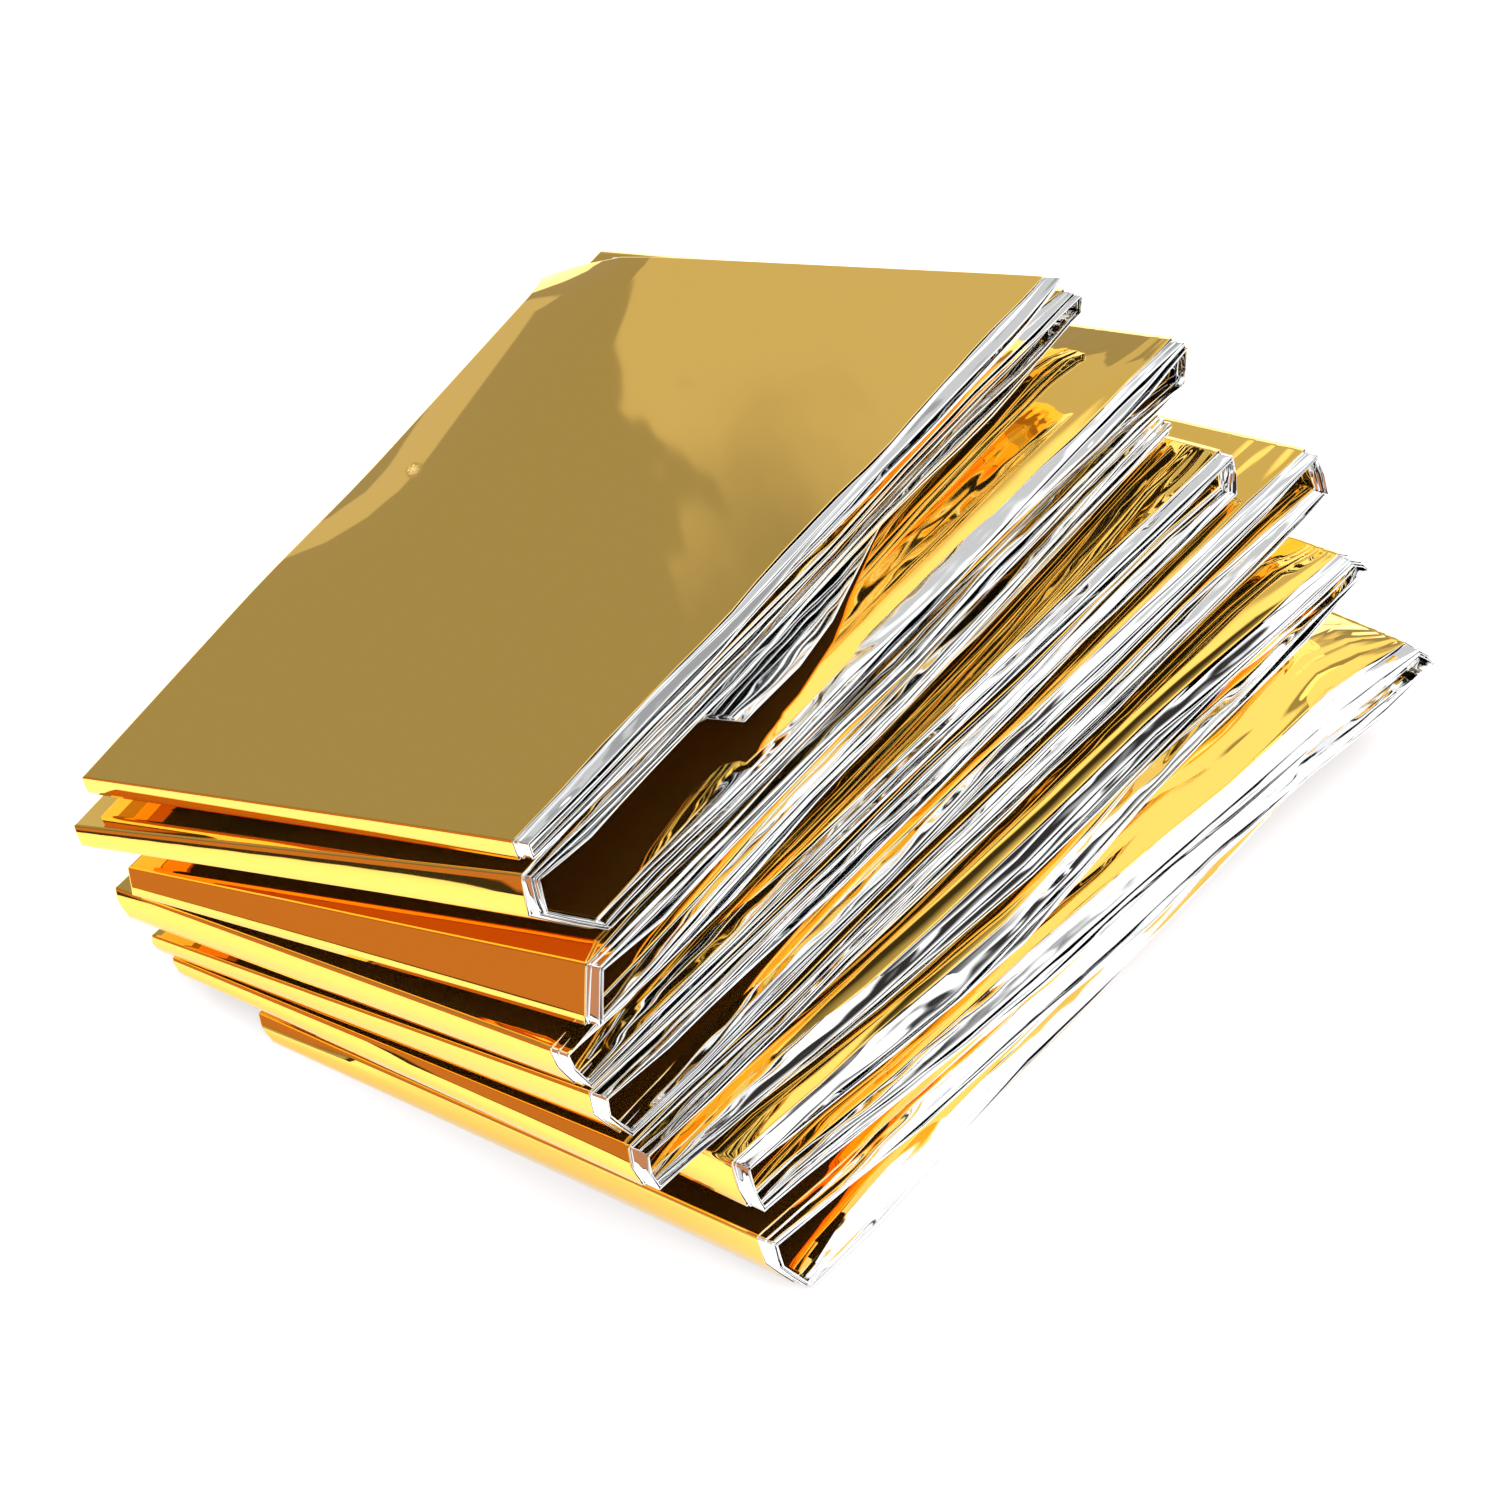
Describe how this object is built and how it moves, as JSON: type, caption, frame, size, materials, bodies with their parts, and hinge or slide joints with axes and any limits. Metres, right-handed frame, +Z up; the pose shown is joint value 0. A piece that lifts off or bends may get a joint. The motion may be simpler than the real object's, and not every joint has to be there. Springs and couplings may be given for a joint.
{
  "type": "emergency foil blanket, folded",
  "caption": "Emergency foil blanket folded back and forth into a loose stack of panels, gold film outside with silver pleat edges showing on the open side.",
  "frame": {"origin": "middle of the footprint, on the surface that the lowest panel rests on", "axes": "+Z up, +Y along the panels from the near folds to the back folds, +X across the panels towards the open side with the pleat edges"},
  "size_m": [0.133, 0.1454, 0.0554],
  "materials": {
    "film": "thin two-sided metallised plastic film, mirror gold on one face and mirror silver on the other, finely creased"
  },
  "bodies": {
    "root": {"foil_blanket": "film"}
  },
  "joints": []
}
